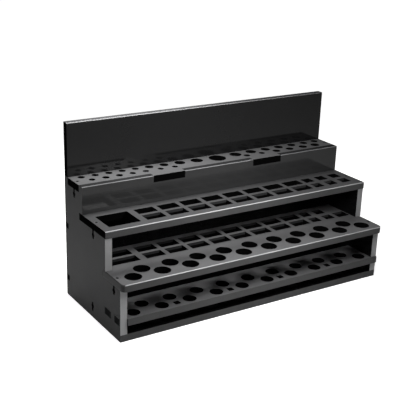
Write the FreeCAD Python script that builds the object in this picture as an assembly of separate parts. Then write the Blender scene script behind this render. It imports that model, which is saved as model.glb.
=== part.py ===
import FreeCAD, Part
import math
import os

# Desktop tool rack: four stepped, perforated shelves between two stepped side panels.
# Millimetres, +Z up, the front of the rack faces -Y.
# While it is built, Y = 0 is the front edge of the side panels; save() then moves
# every piece so that the origin is the centre of the base plate's underside.

V = FreeCAD.Vector

# Overall sizes
width = 330.0
depth = 125.0
height = 192.0
board = 7.5

# Top faces of the shelves
top_shelf_z = 134.5
middle_shelf_z = 105.0
lower_shelf_z = 63.0
bottom_shelf_z = 24.5

# Front edges of the side panels' steps, as shares of the depth
middle_step_y = depth * 0.256
top_step_y = depth * 0.724

# How far the shelves stand out in front of the side panels
middle_overhang = 1.0
lower_overhang = 5.5
bottom_overhang = 1.5

# How far the lower shelf's wide part reaches into notches behind the step's front edge
lower_tuck = 4.5

# Back edges of the two inner shelves, as shares of the depth
lower_back_y = depth * 0.64
bottom_back_y = depth * 0.32

corner_radius = 5.0
edge_break = 0.7
slot_gap = 0.15

# Tongues and tabs
riser_tab_x = [(-83.0, -45.0), (44.0, 82.0)]
foot_tongue_x = [(-100.0, -70.0), (70.0, 100.0)]
left_front_tab_y = (2.0, 12.5)
right_front_tab_y = (-bottom_overhang, 10.0)
rear_tab_y = (20.5, 33.5)
back_tab_z = [(18.0, 24.0), (77.5, 83.5)]

# Machine screws, nuts and the slots cut for them
screw_d = 3.0
screw_length = 16.0
head_d = 5.6
head_height = 1.7
socket_size = 2.0
socket_depth = 1.1
clear_hole_d = 3.4
head_gap = 0.1
nut_size = 5.5
nut_height = 2.4
thread_gap = 0.05
slot_width = 3.3
slot_depth = 9.5
trap_width = 5.8
trap_height = 2.8
trap_offset = 4.0
top_screw_y = depth * 0.816
middle_screw_y = depth * 0.468
lower_screw_y = depth * 0.108
base_screw_y = depth * 0.492

# Round holes that run through the lower and the bottom shelf, one above the other
round_count = 10
round_end_margin = 18.75
round_pitch = (width - 2.0 * round_end_margin) / (round_count - 1)
round_front_y = depth * 0.072
round_back_y = depth * 0.176
lower_round_d = 17.5
bottom_round_d = 14.4
square_peg = 6.5
square_peg_y = depth * 0.0544
square_peg_x = [-3.0 * round_pitch, -round_pitch, round_pitch, 3.0 * round_pitch]

# Rectangular holes that run through the middle and the lower shelf
grid_front_y = depth * 0.382
grid_back_y = depth * 0.526
cell_count = 8
cell_left_margin = 63.0
cell_right_margin = 77.65
cell_pitch = (width - cell_left_margin - cell_right_margin) / (cell_count - 1)
cell_web = 5.05
cell_x = cell_pitch - cell_web
cell_y = 13.5
small_cell = 12.0
small_cell_margins = [55.5, 36.0, 16.5]
wide_slot_margins = (9.0, 44.5)
end_cell_margins = (24.5, 9.0)

# Holes of the top shelf: centre X, centre Y behind the riser, diameter.
# The rows are spread over the width and the depth of the shelf.
top_row_margin = 11.8
top_row_depth = 27.0
top_back_row = [
    (-152.2, 21.8, 7.6), (-136.4, 21.8, 7.6), (-120.6, 21.8, 7.6), (-105.0, 21.8, 7.6),
    (-89.4, 21.8, 7.6), (-73.0, 21.0, 9.4), (-55.0, 20.5, 10.0), (-35.6, 19.5, 12.0),
    (-14.8, 18.0, 13.8), (10.6, 15.3, 19.6), (36.8, 18.0, 13.8), (58.8, 19.0, 12.2),
    (79.6, 19.5, 10.8), (99.0, 19.8, 10.6), (118.2, 20.3, 9.8), (136.6, 20.5, 9.0),
    (153.2, 21.0, 8.2),
]
top_front_row = [
    (-145.5, 9.9, 6.8), (-129.8, 9.9, 7.6), (-114.2, 9.9, 7.6), (-98.7, 9.9, 6.8),
    (-83.0, 9.9, 6.8), (-65.1, 9.9, 6.6), (-47.5, 9.7, 6.6), (46.5, 8.9, 7.4),
    (67.3, 8.9, 7.0), (87.8, 8.9, 9.2), (107.0, 8.7, 9.4), (126.2, 8.5, 10.0),
    (144.5, 8.3, 10.8),
]

half = width / 2.0
inner = half - board
middle_of_side = half - board / 2.0
small_cell_x = [half - margin for margin in small_cell_margins]
wide_slot_x = (wide_slot_margins[0] - half, wide_slot_margins[1] - half)
end_cell_x = (half - end_cell_margins[0], half - end_cell_margins[1])


def box(x_range, y_range, z_range):
    """A block between three pairs of coordinates."""
    size = [pair[1] - pair[0] for pair in (x_range, y_range, z_range)]
    return Part.makeBox(size[0], size[1], size[2], V(x_range[0], y_range[0], z_range[0]))


def grown(pair, gap):
    """A pair of coordinates with a gap added at both ends."""
    return (pair[0] - gap, pair[1] + gap)


def span(centre, size):
    """The pair of coordinates that a length takes up about its centre."""
    return (centre - size / 2.0, centre + size / 2.0)


def upright_cylinder(x, y, diameter, z_range):
    """A cylinder along Z between two heights."""
    return Part.makeCylinder(diameter / 2.0, z_range[1] - z_range[0], V(x, y, z_range[0]))


def cut_all(solid, tools):
    """The solid with every tool cut away."""
    return solid.cut(Part.makeCompound(tools))


def join_all(solid, others):
    """The solid with the others fused to it."""
    for other in others:
        solid = solid.fuse(other)
    return solid.removeSplitter()


def broken_front_edge(solid, front_y, top_z):
    """The solid with its long top front edge chamfered."""
    found = []
    for edge in solid.Edges:
        ends = [vertex.Point for vertex in edge.Vertexes]
        if len(ends) != 2 or edge.Length < width / 12.0:
            continue
        if all(abs(p.y - front_y) < 0.01 and abs(p.z - top_z) < 0.01 for p in ends):
            found.append(edge)
    return solid.makeChamfer(edge_break, found)


def screw_hole_down(x, y, top_z):
    """Clearance hole with a countersink at its upper end."""
    top_r = head_d / 2.0 + head_gap
    low_r = clear_hole_d / 2.0
    hole = upright_cylinder(x, y, clear_hole_d, (top_z - board - 1.0, top_z + 1.0))
    sink = Part.makeCone(low_r, top_r, head_height + head_gap, V(x, y, top_z - head_height - head_gap))
    return hole.fuse(sink)


def screw_hole_up(x, y):
    """Clearance hole through the base plate, countersunk on its underside."""
    top_r = head_d / 2.0 + head_gap
    low_r = clear_hole_d / 2.0
    hole = upright_cylinder(x, y, clear_hole_d, (-1.0, board + 1.0))
    sink = Part.makeCone(top_r, low_r, head_height + head_gap, V(x, y, 0.0))
    return hole.fuse(sink)


def nut_slot(y, edge_z, direction, x_range):
    """T-shaped slot for a screw and its nut; direction -1 runs down from the edge, 1 runs up."""
    far_z = edge_z + direction * slot_depth
    near_trap = edge_z + direction * trap_offset
    far_trap = near_trap + direction * trap_height
    over = grown(x_range, 1.0)
    stem = box(over, span(y, slot_width), tuple(sorted((edge_z - direction, far_z))))
    trap = box(over, span(y, trap_width), tuple(sorted((near_trap, far_trap))))
    return stem.fuse(trap)


def front_tab_y(side):
    """Y range of the bottom shelf's front tab: closed in on the left, out at the front on the right."""
    return left_front_tab_y if side < 0 else right_front_tab_y


def side_profile():
    """Outline of a side panel in the YZ plane, from the base plate up over the steps."""
    middle_under = middle_shelf_z - board
    top_under = top_shelf_z - board
    lower_under = lower_shelf_z - board
    notch_y = middle_step_y + lower_tuck + slot_gap
    notch_top = lower_shelf_z + slot_gap
    return [
        (0.0, board), (0.0, lower_under),
        (notch_y, lower_under), (notch_y, notch_top),
        (middle_step_y, notch_top), (middle_step_y, middle_under),
        (top_step_y, middle_under), (top_step_y, top_under),
        (depth - board, top_under), (depth - board, top_shelf_z),
        (depth, top_shelf_z), (depth, board),
    ]


def side_panel(side):
    """Stepped side panel with its slots; side is -1 for left and 1 for right."""
    x_range = tuple(sorted((side * inner, side * half)))
    points = [V(x_range[0], y, z) for y, z in side_profile()]
    outline = Part.makePolygon(points + [points[0]])
    panel = Part.Face(outline).extrude(V(board, 0, 0))
    over = grown(x_range, 1.0)
    tools = [
        nut_slot(top_screw_y, top_shelf_z - board, -1, x_range),
        nut_slot(middle_screw_y, middle_shelf_z - board, -1, x_range),
        nut_slot(lower_screw_y, lower_shelf_z - board, -1, x_range),
        nut_slot(base_screw_y, board, 1, x_range),
    ]
    tab_z = grown((bottom_shelf_z - board, bottom_shelf_z), slot_gap)
    tools.append(box(over, grown(front_tab_y(side), slot_gap), tab_z))
    tools.append(box(over, grown(rear_tab_y, slot_gap), tab_z))
    for z_range in back_tab_z:
        tools.append(box(over, (depth - board, depth + 1.0), grown(z_range, slot_gap)))
    return cut_all(panel, tools)


def base_plate():
    """Flat plate that the side panels and the back panel stand on."""
    plate = box((-half, half), (0.0, depth), (0.0, board))
    tools = [screw_hole_up(side * middle_of_side, base_screw_y) for side in (-1, 1)]
    return cut_all(plate, tools)


def back_panel():
    """Panel between the side panels that widens to the full width above the top shelf."""
    y_range = (depth - board, depth)
    upper = box((-half, half), y_range, (top_shelf_z, height))
    lower = box((-inner, inner), y_range, (board, top_shelf_z))
    tabs = []
    for z_range in back_tab_z:
        tabs.append(box((-half, half), y_range, z_range))
    return broken_front_edge(join_all(upper, [lower] + tabs), y_range[0], height)


def riser_panel():
    """Upright board in front of the top shelf, standing on the middle shelf."""
    y_range = (top_step_y - board, top_step_y)
    panel = box((-half, half), y_range, (middle_shelf_z, top_shelf_z))
    feet = [box(x, y_range, (middle_shelf_z - board, middle_shelf_z)) for x in foot_tongue_x]
    panel = join_all(panel, feet)
    over = (y_range[0] - 1.0, y_range[1] + 1.0)
    notches = [box(grown(x, slot_gap), over, (top_shelf_z - board, top_shelf_z + 1.0)) for x in riser_tab_x]
    panel = cut_all(panel, notches)
    return broken_front_edge(panel, y_range[0], top_shelf_z)


def top_holes():
    """Centres and diameters of the top shelf's holes, spread over its width and depth."""
    rows = top_back_row + top_front_row
    x_share = (half - top_row_margin) / max(abs(x) for x, y, d in rows)
    y_share = (depth - board - top_step_y) / top_row_depth
    return [(x * x_share, top_step_y + y * y_share, d) for x, y, d in rows]


def top_shelf():
    """Narrow perforated shelf with two tabs that lie in the riser's notches."""
    z_range = (top_shelf_z - board, top_shelf_z)
    plate = box((-half, half), (top_step_y, depth - board), z_range)
    tabs = [box(x, (top_step_y - board, top_step_y), z_range) for x in riser_tab_x]
    plate = join_all(plate, tabs)
    through = grown(z_range, 1.0)
    tools = [upright_cylinder(x, y, d, through) for x, y, d in top_holes()]
    tools += [screw_hole_down(side * middle_of_side, top_screw_y, top_shelf_z) for side in (-1, 1)]
    return cut_all(plate, tools)


def cell_columns():
    """Centres along X of the equal rectangular holes."""
    return [cell_left_margin - half + cell_pitch * i for i in range(cell_count)]


def grid_cells(z_range, small_columns):
    """Rectangular holes of both rows, with the small ones at the right."""
    tools = []
    for y in (grid_front_y, grid_back_y):
        for x in cell_columns():
            tools.append(box(span(x, cell_x), span(y, cell_y), z_range))
        for x in small_columns:
            tools.append(box(span(x, small_cell), span(y, small_cell), z_range))
    return tools


def middle_shelf():
    """Perforated shelf on the side panels' middle step, under the riser."""
    z_range = (middle_shelf_z - board, middle_shelf_z)
    front_y = middle_step_y - middle_overhang
    plate = box((-half, half), (front_y, top_step_y), z_range)
    through = grown(z_range, 1.0)
    tools = grid_cells(through, small_cell_x)
    rows = (grid_front_y - cell_y / 2.0, grid_back_y + cell_y / 2.0)
    tools.append(box(wide_slot_x, rows, through))
    for x in foot_tongue_x:
        tools.append(box(grown(x, slot_gap), (top_step_y - board - slot_gap, top_step_y + 1.0), through))
    tools += [screw_hole_down(side * middle_of_side, middle_screw_y, middle_shelf_z) for side in (-1, 1)]
    return broken_front_edge(cut_all(plate, tools), front_y, middle_shelf_z)


def round_columns():
    """Centres of the round holes: ten in the front row and nine between them behind."""
    first = -round_pitch * (round_count - 1) / 2.0
    front = [(first + round_pitch * i, round_front_y) for i in range(round_count)]
    back = [(first + round_pitch * (i + 0.5), round_back_y) for i in range(round_count - 1)]
    return front + back


def lower_shelf():
    """Shelf that is wide in front, as far as the side panels' notches, and narrow behind."""
    z_range = (lower_shelf_z - board, lower_shelf_z)
    front_y = -lower_overhang
    wide_back_y = middle_step_y + lower_tuck
    front = box((-half, half), (front_y, wide_back_y), z_range)
    corners = []
    for edge in front.Edges:
        ends = [vertex.Point for vertex in edge.Vertexes]
        if abs(ends[0].z - ends[1].z) > 1.0 and abs(ends[0].y - front_y) < 0.01:
            corners.append(edge)
    front = front.makeFillet(corner_radius, corners)
    rear = box((-inner + slot_gap, inner - slot_gap), (wide_back_y, lower_back_y), z_range)
    plate = join_all(front, [rear])
    through = grown(z_range, 1.0)
    tools = grid_cells(through, small_cell_x[:2])
    for y in (grid_front_y, grid_back_y):
        tools.append(box(wide_slot_x, span(y, cell_y), through))
    tools.append(box(end_cell_x, span(grid_front_y, cell_y), through))
    tools += [upright_cylinder(x, y, lower_round_d, through) for x, y in round_columns()]
    tools += [screw_hole_down(side * middle_of_side, lower_screw_y, lower_shelf_z) for side in (-1, 1)]
    return broken_front_edge(cut_all(plate, tools), front_y, lower_shelf_z)


def bottom_shelf():
    """Guide shelf between the side panels, held by two tabs at each end."""
    z_range = (bottom_shelf_z - board, bottom_shelf_z)
    plate = box((-inner, inner), (-bottom_overhang, bottom_back_y), z_range)
    tabs = [box((-half, half), rear_tab_y, z_range)]
    for side in (-1, 1):
        tabs.append(box(sorted((0.0, side * half)), front_tab_y(side), z_range))
    plate = join_all(plate, tabs)
    through = grown(z_range, 1.0)
    tools = [upright_cylinder(x, y, bottom_round_d, through) for x, y in round_columns()]
    for x in square_peg_x:
        tools.append(box(span(x, square_peg), span(square_peg_y, square_peg), through))
    return cut_all(plate, tools)


def hexagon(across_flats, z):
    """Closed hexagonal outline about the Z axis, with two flats facing along Y."""
    radius = across_flats / math.sqrt(3.0)
    points = []
    for i in range(6):
        angle = math.radians(60.0 * i)
        points.append(V(radius * math.cos(angle), radius * math.sin(angle), z))
    return Part.makePolygon(points + [points[0]])


def screw():
    """Countersunk machine screw, head face at Z = 0 and shank pointing down."""
    head = Part.makeCone(screw_d / 2.0, head_d / 2.0, head_height, V(0, 0, -head_height))
    shank = Part.makeCylinder(screw_d / 2.0, screw_length, V(0, 0, -screw_length))
    socket = Part.Face(hexagon(socket_size, -socket_depth)).extrude(V(0, 0, socket_depth + 1.0))
    body = head.fuse(shank).removeSplitter()
    return body.cut(socket)


def nut():
    """Hexagon nut with its upper face at Z = 0 and its corners bevelled."""
    body = Part.Face(hexagon(nut_size, -nut_height)).extrude(V(0, 0, nut_height))
    corner_r = nut_size / math.sqrt(3.0)
    flat_r = nut_size / 2.0
    bevel = corner_r - flat_r
    round_top = Part.makeCone(corner_r, flat_r, bevel, V(0, 0, -bevel))
    round_middle = Part.makeCylinder(corner_r, nut_height - 2.0 * bevel, V(0, 0, -nut_height + bevel))
    round_low = Part.makeCone(flat_r, corner_r, bevel, V(0, 0, -nut_height))
    body = body.common(join_all(round_middle, [round_top, round_low]))
    bore = Part.makeCylinder(screw_d / 2.0 + thread_gap, nut_height + 2.0, V(0, 0, -nut_height - 1.0))
    return body.cut(bore)


def placed(shape, x, y, z, upside_down=False):
    """A copy of the shape moved to a point, turned over first if asked."""
    result = shape.copy()
    if upside_down:
        result.rotate(V(0, 0, 0), V(1, 0, 0), 180)
    result.translate(V(x, y, z))
    return result


def save(name, shape):
    """Write one piece, moved so that the base plate is centred on the origin."""
    result = shape.copy()
    result.translate(V(0, -depth / 2.0, 0))
    if len(result.Solids) != 1 or not result.isValid():
        raise ValueError("piece is not one valid solid: " + name)
    result.Solids[0].exportStep("parts/" + name + ".step")


def save_fasteners():
    """Screws and nuts of the four joints, left and right."""
    one_screw = screw()
    one_nut = nut()
    joints = [
        ("top_shelf", top_screw_y, top_shelf_z),
        ("middle_shelf", middle_screw_y, middle_shelf_z),
        ("lower_shelf", lower_screw_y, lower_shelf_z),
    ]
    for side, side_name in ((-1, "left"), (1, "right")):
        x = side * middle_of_side
        for name, y, top_z in joints:
            nut_z = top_z - board - trap_offset
            save(name + "_screw_" + side_name, placed(one_screw, x, y, top_z))
            save(name + "_nut_" + side_name, placed(one_nut, x, y, nut_z))
        save("base_screw_" + side_name, placed(one_screw, x, base_screw_y, 0.0, True))
        save("base_nut_" + side_name, placed(one_nut, x, base_screw_y, board + trap_offset, True))


def main():
    os.makedirs("parts", exist_ok=True)
    save("base_plate", base_plate())
    save("left_side_panel", side_panel(-1))
    save("right_side_panel", side_panel(1))
    save("back_panel", back_panel())
    save("riser_panel", riser_panel())
    save("top_shelf", top_shelf())
    save("middle_shelf", middle_shelf())
    save("lower_shelf", lower_shelf())
    save("bottom_guide_shelf", bottom_shelf())
    save_fasteners()


main()
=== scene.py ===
"""Looks, stage and camera for a stepped desktop tool rack made of black faced boards."""

import math

import bmesh
import bpy
from bpy.props import FloatProperty, FloatVectorProperty, PointerProperty
from mathutils import Matrix, Vector


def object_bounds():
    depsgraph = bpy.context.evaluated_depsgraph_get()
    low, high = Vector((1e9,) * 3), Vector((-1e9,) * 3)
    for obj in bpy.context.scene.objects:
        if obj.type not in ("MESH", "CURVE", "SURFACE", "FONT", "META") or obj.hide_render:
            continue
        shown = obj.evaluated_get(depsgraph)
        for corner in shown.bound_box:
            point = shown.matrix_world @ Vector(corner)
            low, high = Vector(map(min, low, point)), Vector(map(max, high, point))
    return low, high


bl_info = {
    "name": "Desktop tool rack",
    "version": (1, 0, 0),
    "blender": (4, 5, 0),
    "location": "View3D > Sidebar > Tool rack",
    "description": "Finishes the boards and fasteners of a stepped tool rack and sets up its studio",
    "category": "3D View",
}

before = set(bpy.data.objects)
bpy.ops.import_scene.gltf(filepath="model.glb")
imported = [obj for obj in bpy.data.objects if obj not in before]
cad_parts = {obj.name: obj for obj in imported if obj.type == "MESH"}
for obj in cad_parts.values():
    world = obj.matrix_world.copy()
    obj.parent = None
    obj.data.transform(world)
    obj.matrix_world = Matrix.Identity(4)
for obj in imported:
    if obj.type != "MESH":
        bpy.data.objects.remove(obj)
cad_lowest, cad_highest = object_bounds()

SIDE_PANELS = ("left_side_panel", "right_side_panel")
SCREWED_SHELVES = ("top_shelf", "middle_shelf", "lower_shelf")
SHELVES = SCREWED_SHELVES + ("bottom_guide_shelf",)
FASTENERS = tuple(name for name in sorted(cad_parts) if "_screw_" in name or "_nut_" in name)

# The photograph's width and its camera's focal length, both in pixels, and the camera's sensor
PHOTO_PIXELS = 416
PHOTO_FOCAL_PIXELS = 887.2
SENSOR_MM = 36.0

X_AXIS = (1, 0, 0)
Y_AXIS = (0, 1, 0)
Z_AXIS = (0, 0, 1)

# How far from its outermost plane a surface still counts as a front or top edge, as the front of
# the side panels' step, as an end, or as the lower shelf's end
FRONT_BAND_DEPTH = 0.0008
STEP_BAND_DEPTH = 0.0016
END_BAND_DEPTH = 0.0002
SHELF_END_DEPTH = 0.004
# How far the middle shelf stands out in front of the side panels' step
MIDDLE_OVERHANG = 0.001
# Depths below a shelf's top between which the painted light on its hole walls fades into the dark core
WALL_BAND_LOW = 0.0026
WALL_BAND_HIGH = 0.0032
# A place between the far walls of the two rows of rectangular holes
BETWEEN_ROWS_Y = 0.0
# A place beyond every piece, which leaves a mask empty
NOWHERE = 9.0

# A surface is a cut where less than this share of its normal is along the board's face axis, and a
# cut is a bevel where more than the second share is
CUT_SHARE = 0.9
BEVEL_SHARE = 0.45
# A surface faces the front where its normal's Y is less than this, and is a hole's far wall where
# it is less than the second
FRONT_SHARE = -0.5
WALL_SHARE = -0.995

GRAIN_GROUP = "Laminate grain"
EDGE_GROUP = "Board edges"
GRAIN_HEIGHT = 0.0001
NOISE_MEAN = 0.5

# The flat face of a screw's head, and the rim of the socket in it
HEAD_FACE_DEPTH = 0.0001
SOCKET_RIM_RADIUS = 0.0016
STEEL_SPECULAR = 0.03

# The camera sees the floor and the backdrop a little less white near the rack than far from it,
# and reflections and glass see them at a share of full white
PAPER_COLOUR = (0.8, 0.8, 0.8)
PAPER_ROUGHNESS = 0.9
NEAR_WHITE = 0.86
FAR_WHITE = 1.0
NEAR_DISTANCE = 0.2
FAR_DISTANCE = 0.7
REFLECTED_SHARE = 0.2
FLOOR_DROP = 0.0002

# Each lamp's place, the point that it faces, its width and depth, and the setting for its power
LAMPS = {
    "key lamp": ((-0.26, -0.08, 0.36), (-0.05, 0.0, 0.08), (0.2, 0.2), "key_power"),
    "front lamp": ((-0.01, -0.16, 0.235), (-0.01, -0.08, 0.06), (0.08, 0.08), "front_power"),
    "top lamp": ((-0.09, 0.05, 0.3), (-0.09, 0.045, 0.08), (0.16, 0.06), "top_power"),
    "rear lamp": ((0.0, 0.5, 0.3), (0.0, 0.0, 0.09), (0.3, 0.3), "rear_power"),
    "right lamp": ((0.6, 0.1, 0.2), (0.165, 0.0, 0.08), (0.3, 0.3), "right_power"),
}

# A Mix node has sockets for every kind of data; these are its factor, its two colours and their mix
MIX_INPUTS = (0, 6, 7)
MIX_OUTPUT = 2


class BoardLooks(bpy.types.PropertyGroup):
    """Colours of the boards, with their painted light and shade, and their surface"""

    face_colour: FloatVectorProperty(
        name="Upright face", description="Colour of the smooth laminate on the upright boards",
        subtype="COLOR", size=3, min=0.0, max=1.0, default=(0.046, 0.046, 0.047))
    # Painted shade: the faces turned to the inside of the rack and the base plate's top are darker than
    # the outer faces of the same laminate
    inside_shade_colour: FloatVectorProperty(
        name="Inner face", description="Colour of the faces turned to the inside of the rack",
        subtype="COLOR", size=3, min=0.0, max=1.0, default=(0.005, 0.005, 0.0052))
    # Partly the riser's own colour and partly a painted sheen: lighter than the back panel's face of the
    # same laminate
    riser_colour_and_sheen: FloatVectorProperty(
        name="Riser face", description="Colour of the laminate on the riser",
        subtype="COLOR", size=3, min=0.0, max=1.0, default=(0.042, 0.042, 0.0425))
    riser_top_colour: FloatVectorProperty(
        name="Riser top edge", description="Colour of the riser's top edge",
        subtype="COLOR", size=3, min=0.0, max=1.0, default=(0.03, 0.03, 0.0305))
    # Painted highlight: the thin bright line on the riser's top bevel
    riser_bevel_highlight_colour: FloatVectorProperty(
        name="Riser bevel", description="Colour of the thin bevel on the riser's top edge",
        subtype="COLOR", size=3, min=0.0, max=1.0, default=(0.22, 0.22, 0.225))
    back_colour: FloatVectorProperty(
        name="Back panel face", description="Colour of the laminate on the back panel",
        subtype="COLOR", size=3, min=0.0, max=1.0, default=(0.012, 0.012, 0.0123))
    top_edge_colour: FloatVectorProperty(
        name="Top edge", description="Colour of the back panel's top edge",
        subtype="COLOR", size=3, min=0.0, max=1.0, default=(0.07, 0.07, 0.0715))
    # Painted highlight: the thin bright line on the back panel's top bevel
    top_bevel_highlight_colour: FloatVectorProperty(
        name="Top bevel", description="Colour of the thin bevel on the back panel's top edge",
        subtype="COLOR", size=3, min=0.0, max=1.0, default=(0.3, 0.3, 0.304))
    base_band_colour: FloatVectorProperty(
        name="Base front edge", description="Colour of the banded front edge of the base plate",
        subtype="COLOR", size=3, min=0.0, max=1.0, default=(0.078, 0.078, 0.079))
    # Painted highlight: a light grey on the side panels' front edges and on the front of their step
    side_front_highlight_colour: FloatVectorProperty(
        name="Side front edge", description="Colour of the banded front edge of the side panels",
        subtype="COLOR", size=3, min=0.0, max=1.0, default=(0.4, 0.4, 0.405))
    # Partly the board's dark core and partly painted shade: cut ends, hole interiors and the top shelf's
    # tab fronts are kept near black, darker than the banded front edges
    core_and_shade_colour: FloatVectorProperty(
        name="Cut end", description="Colour of the dyed board core at cut ends",
        subtype="COLOR", size=3, min=0.0, max=1.0, default=(0.003, 0.003, 0.003))
    shelf_colour: FloatVectorProperty(
        name="Shelf face", description="Colour of the fine-grained laminate on the shelves",
        subtype="COLOR", size=3, min=0.0, max=1.0, default=(0.128, 0.128, 0.13))
    # Painted shade: the middle shelf's laminate is darker than the same laminate on the other shelves
    middle_shelf_shade_colour: FloatVectorProperty(
        name="Middle shelf face", description="Colour of the fine-grained laminate on the middle shelf",
        subtype="COLOR", size=3, min=0.0, max=1.0, default=(0.08, 0.08, 0.0815))
    band_colour: FloatVectorProperty(
        name="Shelf front edge", description="Colour of the banded front edge of the shelves",
        subtype="COLOR", size=3, min=0.0, max=1.0, default=(0.078, 0.078, 0.079))
    # Painted highlight: the bright line on the shelves' front bevels
    shelf_bevel_highlight_colour: FloatVectorProperty(
        name="Broken corner", description="Colour of the thin bevel on the shelves' front edges",
        subtype="COLOR", size=3, min=0.0, max=1.0, default=(0.5, 0.5, 0.505))
    # Painted shade: the lower shelf's banded ends are darker than its front edge
    lower_shelf_end_shade_colour: FloatVectorProperty(
        name="Shelf end", description="Colour of the banded ends of the lower shelf",
        subtype="COLOR", size=3, min=0.0, max=1.0, default=(0.04, 0.04, 0.041))
    tab_end_colour: FloatVectorProperty(
        name="Tab end", description="Colour of the tab ends that show in the side panels' slots",
        subtype="COLOR", size=3, min=0.0, max=1.0, default=(0.02, 0.02, 0.0205))
    # Painted light: the upper part of the front-facing walls in the rectangular holes, fading into the
    # dark core below
    wall_light_colour: FloatVectorProperty(
        name="Hole wall", description="Colour of the walls that face the front in the rectangular holes",
        subtype="COLOR", size=3, min=0.0, max=1.0, default=(0.035, 0.035, 0.036))
    face_coat: FloatProperty(
        name="Upright gloss", description="Weight of the clear gloss on the smooth laminate",
        subtype="FACTOR", min=0.0, max=1.0, default=0.32)
    riser_coat: FloatProperty(
        name="Riser gloss", description="Weight of the clear gloss on the riser and the back panel",
        subtype="FACTOR", min=0.0, max=1.0, default=0.8)
    face_roughness: FloatProperty(
        name="Upright roughness", description="Roughness of the gloss on the smooth laminate",
        subtype="FACTOR", min=0.0, max=1.0, default=0.09)
    shelf_coat: FloatProperty(
        name="Shelf sheen", description="Weight of the soft sheen on the grained laminate",
        subtype="FACTOR", min=0.0, max=1.0, default=0.4)
    shelf_roughness: FloatProperty(
        name="Shelf roughness", description="Roughness of the grained laminate",
        subtype="FACTOR", min=0.0, max=1.0, default=0.5)


class FastenerLooks(bpy.types.PropertyGroup):
    """Colour and surface of the screws and nuts"""

    head_colour: FloatVectorProperty(
        name="Head face", description="Colour of the flat face of the screw heads",
        subtype="COLOR", size=3, min=0.0, max=1.0, default=(0.128, 0.128, 0.13))
    steel_colour: FloatVectorProperty(
        name="Black oxide", description="Colour of the blackened steel",
        subtype="COLOR", size=3, min=0.0, max=1.0, default=(0.006, 0.006, 0.0065))
    steel_roughness: FloatProperty(
        name="Steel roughness", description="Roughness of the blackened steel",
        subtype="FACTOR", min=0.0, max=1.0, default=0.5)


class StudioSettings(bpy.types.PropertyGroup):
    """Floor, backdrop, lamps and camera"""

    floor_radius: FloatProperty(
        name="Floor radius", description="Radius of the round studio floor",
        subtype="DISTANCE", unit="LENGTH", min=1.0, default=4.0)
    backdrop_distance: FloatProperty(
        name="Backdrop distance", description="Distance of the backdrop behind the rack",
        subtype="DISTANCE", unit="LENGTH", min=1.0, default=3.0)
    fill_strength: FloatProperty(
        name="Fill", description="Strength of the even light from all round",
        min=0.0, default=0.03)
    key_power: FloatProperty(
        name="Key lamp", description="Power of the soft lamp above the left end",
        unit="POWER", min=0.0, default=0.3)
    front_power: FloatProperty(
        name="Front lamp", description="Power of the soft lamp above the front edge",
        unit="POWER", min=0.0, default=0.43)
    top_power: FloatProperty(
        name="Top lamp", description="Power of the soft lamp above the shelves",
        unit="POWER", min=0.0, default=0.46)
    rear_power: FloatProperty(
        name="Rear lamp", description="Power of the soft lamp behind the back panel",
        unit="POWER", min=0.0, default=2.0)
    right_power: FloatProperty(
        name="Right lamp", description="Power of the soft lamp beside the right end",
        unit="POWER", min=0.0, default=0.5)
    camera_place: FloatVectorProperty(
        name="Camera", description="Where the camera stands",
        subtype="TRANSLATION", unit="LENGTH", size=3, default=(-0.5152, -0.7453, 0.4263))
    camera_yaw: FloatProperty(
        name="Yaw", description="Turn of the camera from straight ahead towards the right",
        subtype="ANGLE", unit="ROTATION", default=0.5792)
    camera_pitch: FloatProperty(
        name="Pitch", description="Downward tilt of the camera",
        subtype="ANGLE", unit="ROTATION", default=0.3553)
    camera_roll: FloatProperty(
        name="Roll", description="Turn of the camera about its own view axis",
        subtype="ANGLE", unit="ROTATION", default=0.0356)


def new_group(name, inputs, outputs):
    """A shader node group; returns it and its two end nodes.

    The inputs are kept by name with their defaults, and the outputs are names of numbers.
    """
    group = bpy.data.node_groups.new(name, "ShaderNodeTree")
    for socket, value in inputs.items():
        kind = "NodeSocketVector" if isinstance(value, tuple) else "NodeSocketFloat"
        made = group.interface.new_socket(socket, in_out="INPUT", socket_type=kind)
        made.default_value = value
    for socket in outputs:
        group.interface.new_socket(socket, in_out="OUTPUT", socket_type="NodeSocketFloat")
    return group, group.nodes.new("NodeGroupInput"), group.nodes.new("NodeGroupOutput")


def put_group(tree, group, **values):
    """A group node with some of its inputs set; returns its outputs."""
    node = tree.nodes.new("ShaderNodeGroup")
    node.node_tree = group
    for key, value in values.items():
        node.inputs[key.replace("_", " ")].default_value = value
    return node.outputs


def add_math(tree, operation, first, second=None, clamp=False):
    """A Math node fed by sockets or plain numbers; returns its result."""
    node = tree.nodes.new("ShaderNodeMath")
    node.operation = operation
    node.use_clamp = clamp
    for socket, value in zip(node.inputs, (first, second)):
        if isinstance(value, bpy.types.NodeSocket):
            tree.links.new(value, socket)
        elif value is not None:
            socket.default_value = value
    return node.outputs[0]


def below(tree, value, limit):
    """The mask where a value is under a limit."""
    return add_math(tree, "LESS_THAN", value, limit)


def above(tree, value, limit):
    """The mask where a value is over a limit."""
    return add_math(tree, "GREATER_THAN", value, limit)


def both(tree, first, second):
    """The mask where two masks meet."""
    return add_math(tree, "MULTIPLY", first, second)


def either(tree, first, second):
    """The mask that two masks cover together."""
    return add_math(tree, "MAXIMUM", first, second)


def add_mix(tree, factor, first, second):
    """A colour mix fed by sockets; returns its result."""
    node = tree.nodes.new("ShaderNodeMix")
    node.data_type = "RGBA"
    for key, value in zip(MIX_INPUTS, (factor, first, second)):
        tree.links.new(value, node.inputs[key])
    return node.outputs[MIX_OUTPUT]


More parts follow.
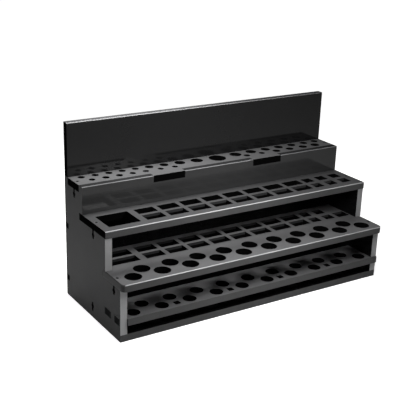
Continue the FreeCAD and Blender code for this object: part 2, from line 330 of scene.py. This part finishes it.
def add_noise(tree, vector, scale, detail, roughness):
    """A noise texture on the given coordinates; returns its value."""
    node = tree.nodes.new("ShaderNodeTexNoise")
    node.inputs["Detail"].default_value = detail
    node.inputs["Roughness"].default_value = roughness
    tree.links.new(vector, node.inputs["Vector"])
    if isinstance(scale, bpy.types.NodeSocket):
        tree.links.new(scale, node.inputs["Scale"])
    else:
        node.inputs["Scale"].default_value = scale
    return node.outputs["Fac"]


def object_place(tree):
    """The place on the rack, as a vector."""
    return tree.nodes.new("ShaderNodeTexCoord").outputs["Object"]


def split(tree, vector):
    """The X, Y and Z of a vector."""
    node = tree.nodes.new("ShaderNodeSeparateXYZ")
    tree.links.new(vector, node.inputs[0])
    return tuple(node.outputs)


def rgb(tree, colour):
    """A constant colour as a socket for a mix."""
    node = tree.nodes.new("ShaderNodeRGB")
    node.outputs[0].default_value = (*colour, 1.0)
    return node.outputs[0]


def laminate_grain_group():
    """Fine pressed grain with faint handling marks: a tone, a roughness shift and a height."""
    group, given, made = new_group(
        GRAIN_GROUP,
        {"Grain Scale": 1500.0, "Grain Depth": 0.25, "Mark Depth": 0.2},
        ("Tone", "Roughness Shift", "Height"))
    place = object_place(group)
    grain = add_noise(group, place, given.outputs["Grain Scale"], detail=4.0, roughness=0.65)
    marks = add_noise(group, place, scale=28.0, detail=5.0, roughness=0.6)
    grain_tone = add_math(group, "MULTIPLY", add_math(group, "SUBTRACT", grain, NOISE_MEAN),
                          given.outputs["Grain Depth"])
    mark_tone = add_math(group, "MULTIPLY", add_math(group, "SUBTRACT", marks, NOISE_MEAN),
                         given.outputs["Mark Depth"])
    tone = add_math(group, "ADD", add_math(group, "ADD", grain_tone, mark_tone), 1.0)
    group.links.new(tone, made.inputs["Tone"])
    group.links.new(mark_tone, made.inputs["Roughness Shift"])
    group.links.new(grain, made.inputs["Height"])
    return group


def board_edge_group():
    """Masks for a board: cut surfaces, front band, broken corner, top edge, ends and the upper hole walls
    that take painted light.
    """
    group, given, made = new_group(
        EDGE_GROUP,
        {
            "Face Axis": (0.0, 0.0, 1.0), "Front Y": -NOWHERE, "Step Y": NOWHERE, "Top Z": NOWHERE,
            "End X": NOWHERE, "Whole End": 0.0, "Wall Y": NOWHERE, "Wall Far Y": NOWHERE, "Wall Z": 0.0,
        },
        ("Cut", "Front", "Corner", "Top", "End", "Wall"))
    limits = given.outputs
    normal = group.nodes.new("ShaderNodeNewGeometry").outputs["Normal"]
    dot = group.nodes.new("ShaderNodeVectorMath")
    dot.operation = "DOT_PRODUCT"
    group.links.new(normal, dot.inputs[0])
    group.links.new(limits["Face Axis"], dot.inputs[1])
    facing = add_math(group, "ABSOLUTE", dot.outputs["Value"])
    normal_y = split(group, normal)[1]
    x, y, z = split(group, object_place(group))

    cut = below(group, facing, CUT_SHARE)
    front_limit = add_math(group, "ADD", limits["Front Y"], FRONT_BAND_DEPTH)
    from_step = add_math(group, "ABSOLUTE", add_math(group, "SUBTRACT", y, limits["Step Y"]))
    in_front = either(group, below(group, y, front_limit), below(group, from_step, STEP_BAND_DEPTH))
    front = both(group, both(group, cut, in_front), below(group, normal_y, FRONT_SHARE))
    top_limit = add_math(group, "SUBTRACT", limits["Top Z"], FRONT_BAND_DEPTH)
    top = both(group, cut, above(group, z, top_limit))
    corner = both(group, either(group, front, top), above(group, facing, BEVEL_SHARE))
    outermost = above(group, add_math(group, "ABSOLUTE", x), limits["End X"])
    end = both(group, either(group, cut, limits["Whole End"]), outermost)

    # Painted light on the upper part of the front-facing hole walls, fading out with depth
    in_rows = both(group, above(group, y, limits["Wall Y"]), below(group, y, limits["Wall Far Y"]))
    fade = group.nodes.new("ShaderNodeMapRange")
    fade.interpolation_type = "SMOOTHSTEP"
    for socket, depth in (("From Min", WALL_BAND_HIGH), ("From Max", WALL_BAND_LOW)):
        group.links.new(add_math(group, "SUBTRACT", limits["Wall Z"], depth), fade.inputs[socket])
    group.links.new(z, fade.inputs["Value"])
    wall = both(group, both(group, below(group, normal_y, WALL_SHARE), in_rows), fade.outputs["Result"])

    masks = {"Cut": cut, "Front": front, "Corner": corner, "Top": top, "End": end, "Wall": wall}
    for name, mask in masks.items():
        group.links.new(mask, made.inputs[name])
    return group


def shared_groups():
    """The two node groups that the materials share, made once."""
    grain = bpy.data.node_groups.get(GRAIN_GROUP) or laminate_grain_group()
    edges = bpy.data.node_groups.get(EDGE_GROUP) or board_edge_group()
    return grain, edges


def new_material(name):
    """An empty material, its node tree and its Principled shader."""
    material = bpy.data.materials.new(name)
    material.use_nodes = True
    return material, material.node_tree, material.node_tree.nodes["Principled BSDF"]


def grained(tree, shader, grain, colour, roughness):
    """Feed a shader a colour and a roughness that vary with the grain."""
    toned = tree.nodes.new("ShaderNodeVectorMath")
    toned.operation = "SCALE"
    tree.links.new(colour, toned.inputs[0])
    tree.links.new(grain["Tone"], toned.inputs["Scale"])
    tree.links.new(toned.outputs[0], shader.inputs["Base Color"])
    varied = add_math(tree, "ADD", grain["Roughness Shift"], roughness, clamp=True)
    tree.links.new(varied, shader.inputs["Roughness"])


def board_material(name, axis, colours, finish, **places):
    """Faced board: laminate on the faces, a near-black core at the cuts that is partly painted shade,
    bands on the seen edges.

    Colours and edge coats are kept by mask. An edge without a colour of its own keeps the cuts'.
    """
    grain_group, edge_group = shared_groups()
    material, tree, shader = new_material(name)
    grain = put_group(tree, grain_group, **finish["grain"])
    edges = put_group(tree, edge_group, Face_Axis=axis, **places)
    colour = add_mix(tree, edges["Cut"], rgb(tree, colours["Face"]), rgb(tree, colours["Cut"]))
    for mask in ("Wall", "End", "Front", "Top", "Corner"):
        if mask in colours:
            colour = add_mix(tree, edges[mask], colour, rgb(tree, colours[mask]))
    grained(tree, shader, grain, colour, finish["roughness"])
    gloss = add_math(tree, "MULTIPLY", add_math(tree, "SUBTRACT", 1.0, edges["Cut"]), finish["coat"])
    for mask, weight in finish["edge_coats"].items():
        gloss = either(tree, gloss, add_math(tree, "MULTIPLY", edges[mask], weight))
    tree.links.new(gloss, shader.inputs["Coat Weight"])
    shader.inputs["Coat Roughness"].default_value = finish["coat_roughness"]
    shader.inputs["Specular IOR Level"].default_value = 0.0
    if finish["bump"]:
        dent = tree.nodes.new("ShaderNodeBump")
        dent.inputs["Strength"].default_value = finish["bump"]
        dent.inputs["Distance"].default_value = GRAIN_HEIGHT
        tree.links.new(grain["Height"], dent.inputs["Height"])
        tree.links.new(dent.outputs["Normal"], shader.inputs["Normal"])
    return material


def steel_material(name, looks, head):
    """Blackened steel with a cloudy oxide film, paler on the flat faces of one pair of heads.

    The head is the middle of one flat face; the other one lies at the same place across X.
    """
    grain_group = shared_groups()[0]
    material, tree, shader = new_material(name)
    grain = put_group(tree, grain_group, Grain_Scale=3000.0, Grain_Depth=0.3, Mark_Depth=0.3)
    x, y, z = split(tree, object_place(tree))
    off_x = add_math(tree, "SUBTRACT", add_math(tree, "ABSOLUTE", x), abs(head.x))
    off_y = add_math(tree, "SUBTRACT", y, head.y)
    squares = [add_math(tree, "MULTIPLY", offset, offset) for offset in (off_x, off_y)]
    from_axis = add_math(tree, "SQRT", add_math(tree, "ADD", *squares))
    flat = both(tree, above(tree, z, head.z - HEAD_FACE_DEPTH), above(tree, from_axis, SOCKET_RIM_RADIUS))
    colour = add_mix(tree, flat, rgb(tree, looks.steel_colour), rgb(tree, looks.head_colour))
    grained(tree, shader, grain, colour, looks.steel_roughness)
    shader.inputs["Specular IOR Level"].default_value = STEEL_SPECULAR
    return material


def dress(nodes, material):
    """Give CAD nodes their finished material."""
    for name in nodes:
        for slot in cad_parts[name].material_slots:
            slot.material = material


def node_span(name):
    """Lowest and highest corner of a CAD node."""
    axes = list(zip(*(vertex.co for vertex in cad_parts[name].data.vertices)))
    return Vector([min(axis) for axis in axes]), Vector([max(axis) for axis in axes])


class TOOLRACK_OT_upright_boards(bpy.types.Operator):
    """Finish the side panels, the back panel, the riser and the base plate"""

    bl_idname = "toolrack.upright_boards"
    bl_label = "Finish upright boards"

    def execute(self, context):
        looks = context.scene.toolrack_boards
        # core is the near-black cut colour, partly painted shade
        face, core = looks.face_colour, looks.core_and_shade_colour
        finish = {
            "grain": {"Grain_Scale": 900.0, "Grain_Depth": 0.1, "Mark_Depth": 0.3},
            "roughness": 0.5, "bump": 0.0,
            "coat": looks.face_coat, "coat_roughness": looks.face_roughness, "edge_coats": {},
        }
        # Side panels: painted shade on the inner faces and a painted highlight on the front edges
        dress(SIDE_PANELS, board_material(
            "side panel board", X_AXIS,
            {"Face": looks.inside_shade_colour, "Cut": core, "End": face, "Front": looks.side_front_highlight_colour},
            dict(finish, edge_coats={"Front": looks.face_coat}),
            End_X=node_span("right_side_panel")[1].x - END_BAND_DEPTH, Whole_End=1.0,
            Front_Y=node_span("left_side_panel")[0].y,
            Step_Y=node_span("middle_shelf")[0].y + MIDDLE_OVERHANG))
        riser_end = node_span("riser_panel")[1]
        # Riser: a painted sheen on its face and a painted highlight on its top bevel
        dress(("riser_panel",), board_material(
            "riser board", Y_AXIS,
            {"Face": looks.riser_colour_and_sheen, "Cut": core, "End": face, "Top": looks.riser_top_colour,
             "Corner": looks.riser_bevel_highlight_colour},
            dict(finish, coat=looks.riser_coat, edge_coats={"End": looks.face_coat}),
            Top_Z=riser_end.z, End_X=riser_end.x - END_BAND_DEPTH))
        # Back panel: a painted highlight on its top bevel
        dress(("back_panel",), board_material(
            "back panel board", Y_AXIS,
            {"Face": looks.back_colour, "Cut": core, "Top": looks.top_edge_colour,
             "Corner": looks.top_bevel_highlight_colour},
            dict(finish, coat=looks.riser_coat),
            Top_Z=node_span("back_panel")[1].z))
        # Base plate: painted shade on its top face
        dress(("base_plate",), board_material(
            "base board", Z_AXIS,
            {"Face": looks.inside_shade_colour, "Cut": face, "Front": looks.base_band_colour},
            dict(finish, edge_coats={"Cut": looks.face_coat}),
            Front_Y=node_span("base_plate")[0].y))
        return {"FINISHED"}


class TOOLRACK_OT_shelves(bpy.types.Operator):
    """Finish the four perforated shelves"""

    bl_idname = "toolrack.shelves"
    bl_label = "Finish shelves"

    def execute(self, context):
        looks = context.scene.toolrack_boards
        finish = {
            "grain": {"Grain_Scale": 1600.0, "Grain_Depth": 0.5, "Mark_Depth": 0.3},
            "roughness": looks.shelf_roughness, "bump": 0.1,
            "coat": looks.shelf_coat, "coat_roughness": 0.35,
        }
        wall_y = node_span("middle_shelf")[0].y + END_BAND_DEPTH
        for name in SHELVES:
            lowest, highest = node_span(name)
            # The middle shelf gets a darker copy of the laminate as painted shade
            face = looks.middle_shelf_shade_colour if name == "middle_shelf" else looks.shelf_colour
            colours = {"Face": face, "Cut": looks.core_and_shade_colour}
            coats = {}
            places = {}
            if name != "top_shelf":
                # The front bevel takes a painted highlight
                colours.update(Front=looks.band_colour, Corner=looks.shelf_bevel_highlight_colour)
                coats["Front"] = looks.shelf_coat
                places["Front_Y"] = lowest.y
            if name in ("middle_shelf", "lower_shelf"):
                # Painted light on the hole walls
                colours["Wall"] = looks.wall_light_colour
                places.update(Wall_Y=wall_y, Wall_Z=highest.z)
            if name == "middle_shelf":
                # Only the front row's hole walls take the painted light
                places["Wall_Far_Y"] = BETWEEN_ROWS_Y
            if name == "lower_shelf":
                # The lower shelf's ends take painted shade
                colours["End"] = looks.lower_shelf_end_shade_colour
                coats["End"] = looks.shelf_coat
                places["End_X"] = highest.x - SHELF_END_DEPTH
            if name == "bottom_guide_shelf":
                colours["End"] = looks.tab_end_colour
                places["End_X"] = highest.x - END_BAND_DEPTH
            dress((name,), board_material(
                name.replace("_", " ") + " board", Z_AXIS, colours,
                dict(finish, edge_coats=coats), **places))
        return {"FINISHED"}


class TOOLRACK_OT_fasteners(bpy.types.Operator):
    """Finish the countersunk screws and the nuts"""

    bl_idname = "toolrack.fasteners"
    bl_label = "Finish screws and nuts"

    def execute(self, context):
        looks = context.scene.toolrack_fasteners
        dress(FASTENERS, steel_material("black steel", looks, Vector((0.0, 0.0, NOWHERE))))
        for shelf in SCREWED_SHELVES:
            screws = [name for name in FASTENERS if name.startswith(shelf + "_screw")]
            lowest, highest = node_span(screws[0])
            head = Vector(((lowest.x + highest.x) / 2, (lowest.y + highest.y) / 2, highest.z))
            dress(screws, steel_material(shelf.replace("_", " ") + " screw steel", looks, head))
        return {"FINISHED"}


def white_to_the_camera(tree, lit):
    """Add white for the camera, and a share of full white for reflections and glass."""
    distance = tree.nodes.new("ShaderNodeVectorMath")
    distance.operation = "LENGTH"
    tree.links.new(object_place(tree), distance.inputs[0])
    spread = tree.nodes.new("ShaderNodeMapRange")
    spread.interpolation_type = "SMOOTHSTEP"
    spread.inputs["From Min"].default_value = NEAR_DISTANCE
    spread.inputs["From Max"].default_value = FAR_DISTANCE
    spread.inputs["To Min"].default_value = NEAR_WHITE
    spread.inputs["To Max"].default_value = FAR_WHITE
    tree.links.new(distance.outputs["Value"], spread.inputs["Value"])
    path = tree.nodes.new("ShaderNodeLightPath").outputs
    direct = add_math(tree, "MULTIPLY", path["Is Camera Ray"], spread.outputs["Result"])
    reflected = add_math(tree, "MAXIMUM", path["Is Glossy Ray"], path["Is Transmission Ray"])
    seen = add_math(tree, "MAXIMUM", direct, add_math(tree, "MULTIPLY", reflected, REFLECTED_SHARE))
    glow = tree.nodes.new("ShaderNodeEmission")
    tree.links.new(seen, glow.inputs["Strength"])
    together = tree.nodes.new("ShaderNodeAddShader")
    tree.links.new(lit, together.inputs[0])
    tree.links.new(glow.outputs[0], together.inputs[1])
    return together.outputs[0]


def paper_material():
    """Pale matte paper that reads as white from the camera and still takes a shadow."""
    material, tree, shader = new_material("studio paper")
    shader.inputs["Base Color"].default_value = (*PAPER_COLOUR, 1.0)
    shader.inputs["Roughness"].default_value = PAPER_ROUGHNESS
    shader.inputs["Specular IOR Level"].default_value = 0.0
    out = tree.nodes["Material Output"]
    tree.links.new(white_to_the_camera(tree, shader.outputs[0]), out.inputs["Surface"])
    return material


def mesh_object(name, mesh_maker, material):
    """A new object at the origin whose mesh comes from a bmesh operator."""
    mesh = bpy.data.meshes.new(name)
    bm = bmesh.new()
    mesh_maker(bm)
    bm.to_mesh(mesh)
    bm.free()
    made = bpy.data.objects.new(name, mesh)
    made.data.materials.append(material)
    bpy.context.scene.collection.objects.link(made)
    return made


def area_lamp(name, place, target, extent, power):
    """A rectangular lamp that faces a point and that the camera doesn't see."""
    lamp = bpy.data.lights.new(name, "AREA")
    lamp.shape = "RECTANGLE"
    lamp.size, lamp.size_y = extent
    lamp.energy = power
    made = bpy.data.objects.new(name, lamp)
    made.location = place
    made.rotation_euler = (Vector(target) - Vector(place)).to_track_quat("-Z", "Y").to_euler()
    made.visible_camera = False
    bpy.context.scene.collection.objects.link(made)


def studio_world(fill):
    """Even light from all round, white where the camera sees it, also through glass."""
    world = bpy.data.worlds.new("studio")
    world.use_nodes = True
    tree = world.node_tree
    background = tree.nodes["Background"]
    background.inputs["Color"].default_value = (1, 1, 1, 1)
    path = tree.nodes.new("ShaderNodeLightPath").outputs
    seen = add_math(tree, "MAXIMUM", path["Is Camera Ray"], path["Is Transmission Ray"])
    plain = add_math(tree, "MULTIPLY", add_math(tree, "SUBTRACT", 1.0, seen), fill)
    tree.links.new(add_math(tree, "ADD", seen, plain), background.inputs["Strength"])
    bpy.context.scene.world = world


class TOOLRACK_OT_stage(bpy.types.Operator):
    """Build the pale floor, the backdrop and the soft lamps"""

    bl_idname = "toolrack.stage"
    bl_label = "Build stage"

    def execute(self, context):
        studio = context.scene.toolrack_studio
        lowest = cad_lowest.z
        paper = paper_material()

        def floor_mesh(bm):
            at = Matrix.Translation((0, 0, lowest - FLOOR_DROP))
            bmesh.ops.create_circle(
                bm, cap_ends=True, radius=studio.floor_radius, segments=64, matrix=at)

        def backdrop_mesh(bm):
            upright = Matrix.Rotation(math.radians(90), 4, "X")
            at = Matrix.Translation((0, studio.backdrop_distance, studio.floor_radius / 2 + lowest))
            bmesh.ops.create_grid(
                bm, x_segments=1, y_segments=1, size=studio.floor_radius, matrix=at @ upright)

        floor = mesh_object("studio_floor", floor_mesh, paper)
        backdrop = mesh_object("studio_backdrop", backdrop_mesh, paper)
        studio_world(studio.fill_strength)
        for name, (place, target, extent, power) in LAMPS.items():
            area_lamp(name, place, target, extent, getattr(studio, power))
        context.scene.view_settings.view_transform = "Standard"
        return {"FINISHED"}


class TOOLRACK_OT_camera(bpy.types.Operator):
    """Place the camera at the photograph's viewing angle"""

    bl_idname = "toolrack.camera"
    bl_label = "Place camera"

    def execute(self, context):
        studio = context.scene.toolrack_studio
        yaw, pitch, roll = studio.camera_yaw, studio.camera_pitch, studio.camera_roll
        level = math.cos(pitch)
        ahead = Vector((math.sin(yaw) * level, math.cos(yaw) * level, -math.sin(pitch)))
        right = Vector((math.cos(yaw), -math.sin(yaw), 0.0))
        up = right.cross(ahead)
        rolled_right = right * math.cos(roll) + up * math.sin(roll)
        rolled_up = up * math.cos(roll) - right * math.sin(roll)
        turn = Matrix((rolled_right, rolled_up, -ahead)).transposed()
        camera = bpy.data.cameras.new("camera")
        camera.sensor_width = SENSOR_MM
        camera.lens = PHOTO_FOCAL_PIXELS / PHOTO_PIXELS * SENSOR_MM
        camera.clip_start = 0.05
        camera.clip_end = 50.0
        made = bpy.data.objects.new("camera", camera)
        made.rotation_mode = "QUATERNION"
        made.rotation_quaternion = turn.to_quaternion()
        made.location = studio.camera_place
        context.scene.collection.objects.link(made)
        context.scene.camera = made
        return {"FINISHED"}


class TOOLRACK_PT_panel(bpy.types.Panel):
    """Lists the rack's operators and settings"""

    bl_idname = "TOOLRACK_PT_panel"
    bl_label = "Tool rack"
    bl_space_type = "VIEW_3D"
    bl_region_type = "UI"
    bl_category = "Tool rack"

    def draw(self, context):
        for operator in OPERATORS:
            self.layout.operator(operator.bl_idname)
        for settings in ("toolrack_boards", "toolrack_fasteners", "toolrack_studio"):
            box = self.layout.box()
            group = getattr(context.scene, settings)
            for name in group.__annotations__:
                box.prop(group, name)


OPERATORS = (
    TOOLRACK_OT_upright_boards,
    TOOLRACK_OT_shelves,
    TOOLRACK_OT_fasteners,
    TOOLRACK_OT_stage,
    TOOLRACK_OT_camera,
)
CLASSES = (BoardLooks, FastenerLooks, StudioSettings) + OPERATORS + (TOOLRACK_PT_panel,)


def register():
    for one in CLASSES:
        bpy.utils.register_class(one)
    bpy.types.Scene.toolrack_boards = PointerProperty(type=BoardLooks)
    bpy.types.Scene.toolrack_fasteners = PointerProperty(type=FastenerLooks)
    bpy.types.Scene.toolrack_studio = PointerProperty(type=StudioSettings)


def unregister():
    del bpy.types.Scene.toolrack_studio
    del bpy.types.Scene.toolrack_fasteners
    del bpy.types.Scene.toolrack_boards
    for one in reversed(CLASSES):
        bpy.utils.unregister_class(one)


def main():
    register()
    bpy.ops.toolrack.upright_boards()
    bpy.ops.toolrack.shelves()
    bpy.ops.toolrack.fasteners()
    bpy.ops.toolrack.stage()
    bpy.ops.toolrack.camera()


if __name__ == "__main__":
    main()
